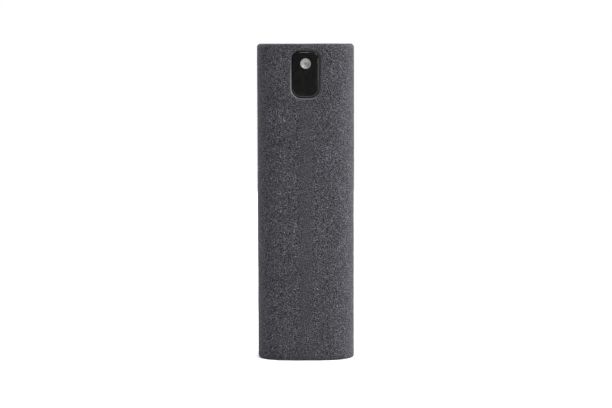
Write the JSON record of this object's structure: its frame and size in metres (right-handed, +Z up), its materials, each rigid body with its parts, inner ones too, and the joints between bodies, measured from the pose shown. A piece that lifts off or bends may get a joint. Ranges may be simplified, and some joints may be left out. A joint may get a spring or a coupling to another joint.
{
  "type": "lens cleaning spray",
  "caption": "Pocket lens cleaning spray: flat bottle in a sleeve covered with microfibre cloth, front push button with nozzle, pump behind it, the sleeve lifts off the bottle to refill it.",
  "frame": {"origin": "centre of the base, on the surface the object stands on", "axes": "+Z up along the sleeve, +X across the width, the face with the button towards -Y"},
  "size_m": [0.0384, 0.022, 0.126],
  "materials": {
    "cloth": "matte",
    "shell_plastic": "matte",
    "button_plastic": "satin",
    "nozzle_plastic": "satin",
    "head_plastic": "matte",
    "pump_plastic": "satin",
    "seal_rubber": "matte",
    "valve_rubber": "matte",
    "steel": "polished",
    "screw_steel": "satin",
    "tube_plastic": "satin",
    "bottle_plastic": "gloss",
    "cap_plastic": "matte"
  },
  "bodies": {
    "bottle": {"bottle": "bottle_plastic", "base_cap": "cap_plastic"},
    "sleeve": {"microfibre_cover": "cloth", "sleeve_shell": "shell_plastic", "head_frame": "head_plastic", "pump_cylinder": "pump_plastic", "cylinder_o_ring": "seal_rubber", "cylinder_gasket": "seal_rubber", "cylinder_screws": "screw_steel", "inlet_valve_seat": "pump_plastic", "vent_ring": "valve_rubber", "spigot_o_ring": "seal_rubber", "dip_tube": "tube_plastic", "return_spring": "steel"},
    "button": {"button": "button_plastic", "nozzle_insert": "nozzle_plastic", "swirl_core": "pump_plastic", "channel_plug": "pump_plastic", "outlet_valve": "valve_rubber", "piston": "pump_plastic", "piston_seal": "valve_rubber"},
    "inlet_ball": {"inlet_ball": "steel"}
  },
  "joints": [
    {"name": "sleeve_lift", "type": "slide", "parent": "bottle", "child": "sleeve", "axis": [0, 0, 1], "range_m": [0, 0.1]},
    {"name": "button_press", "type": "slide", "parent": "sleeve", "child": "button", "axis": [0, 1, 0], "range_m": [0, 0.0026], "stiffness_N_per_m": 800, "springref_m": -0.003, "deforming": ["return_spring"]},
    {"name": "inlet_ball_lift", "type": "slide", "parent": "sleeve", "child": "inlet_ball", "axis": [0, 0, 1], "range_m": [0, 0.0005]}
  ]
}
